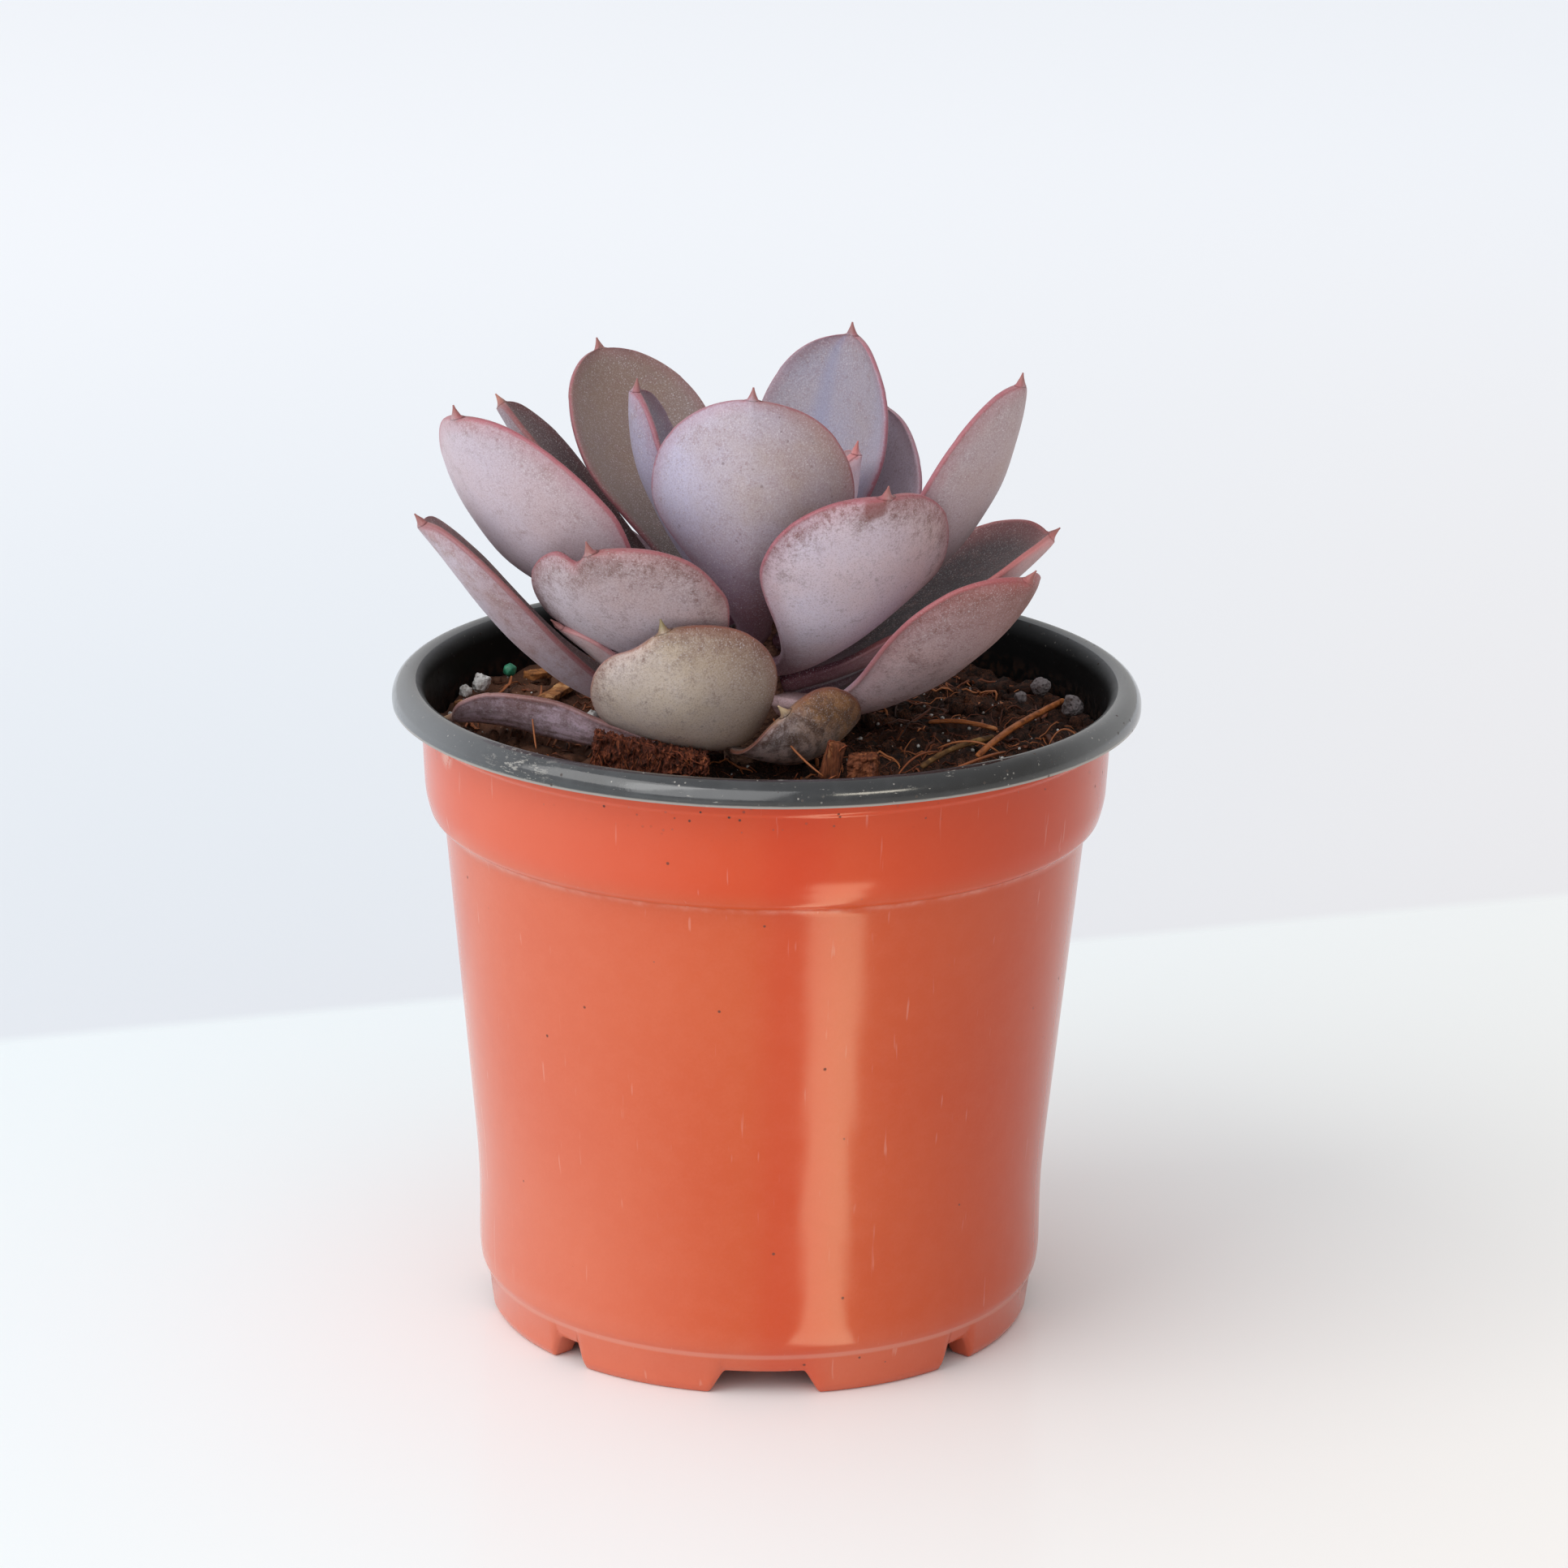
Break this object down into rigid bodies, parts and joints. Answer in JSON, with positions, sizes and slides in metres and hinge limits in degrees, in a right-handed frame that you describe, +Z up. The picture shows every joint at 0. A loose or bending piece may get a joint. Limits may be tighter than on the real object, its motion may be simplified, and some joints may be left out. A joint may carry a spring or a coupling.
{
  "type": "potted succulent",
  "caption": "Potted echeveria: a rosette of fleshy, mealy lilac leaves on a short stem in a round terracotta-coloured nursery pot with a black rolled rim.",
  "frame": {"origin": "centre of the pot's axis on the plane it stands on", "axes": "+Z up along the pot's axis, -Y towards the side that the picture shows"},
  "size_m": [0.1, 0.1, 0.1337],
  "materials": {
    "pot_terracotta": "satin gloss, thin two-tone sheet: terracotta outside, black inside and over the rim",
    "soil": "rough, dark peat and coir",
    "stem": "matt, corky",
    "leaf_lilac": "matt, mealy wax bloom over a lilac-pink fleshy leaf",
    "leaf_olive": "matt, old khaki leaf",
    "leaf_dull": "matt, shrivelled purple-grey leaf",
    "leaf_withered": "matt, withered olive-brown leaf",
    "coir": "rough, fibrous",
    "bark": "rough",
    "straw": "satin",
    "perlite": "rough",
    "feed_bead": "satin"
  },
  "bodies": {
    "root": {"bark_chip_round": "bark", "bark_chip_upright": "bark", "bark_flake_back": "bark", "bark_flake_left": "bark", "bark_flake_wall": "bark", "coir_chip_front": "coir", "coir_chunk_right": "coir", "feed_bead": "feed_bead", "fibre_right": "straw", "leaf_back_1": "leaf_lilac", "leaf_back_2": "leaf_lilac", "leaf_back_3": "leaf_lilac", "leaf_back_4": "leaf_lilac", "leaf_back_5": "leaf_lilac", "leaf_back_left_tall": "leaf_lilac", "leaf_back_right_inner": "leaf_lilac", "leaf_back_right_tall": "leaf_lilac", "leaf_front_left": "leaf_lilac", "leaf_front_low": "leaf_olive", "leaf_front_right": "leaf_lilac", "leaf_front_upright": "leaf_lilac", "leaf_heart_1": "leaf_lilac", "leaf_heart_2": "leaf_lilac", "leaf_heart_3": "leaf_lilac", "leaf_heart_4": "leaf_lilac", "leaf_heart_right": "leaf_lilac", "leaf_inner_left": "leaf_lilac", "leaf_left_broad": "leaf_lilac", "leaf_left_low": "leaf_lilac", "leaf_left_narrow": "leaf_lilac", "leaf_left_tucked": "leaf_lilac", "leaf_on_soil_left": "leaf_dull", "leaf_right_low": "leaf_lilac", "leaf_right_spread": "leaf_lilac", "leaf_right_tall": "leaf_lilac", "leaf_withered": "leaf_withered", "perlite_back": "perlite", "perlite_left_1": "perlite", "perlite_left_2": "perlite", "perlite_middle_1": "perlite", "perlite_middle_2": "perlite", "perlite_right_1": "perlite", "perlite_right_2": "perlite", "perlite_right_3": "perlite", "pot": "pot_terracotta", "soil": "soil", "stem": "stem", "straw_right": "straw", "twig_front_right": "bark"}
  },
  "joints": []
}
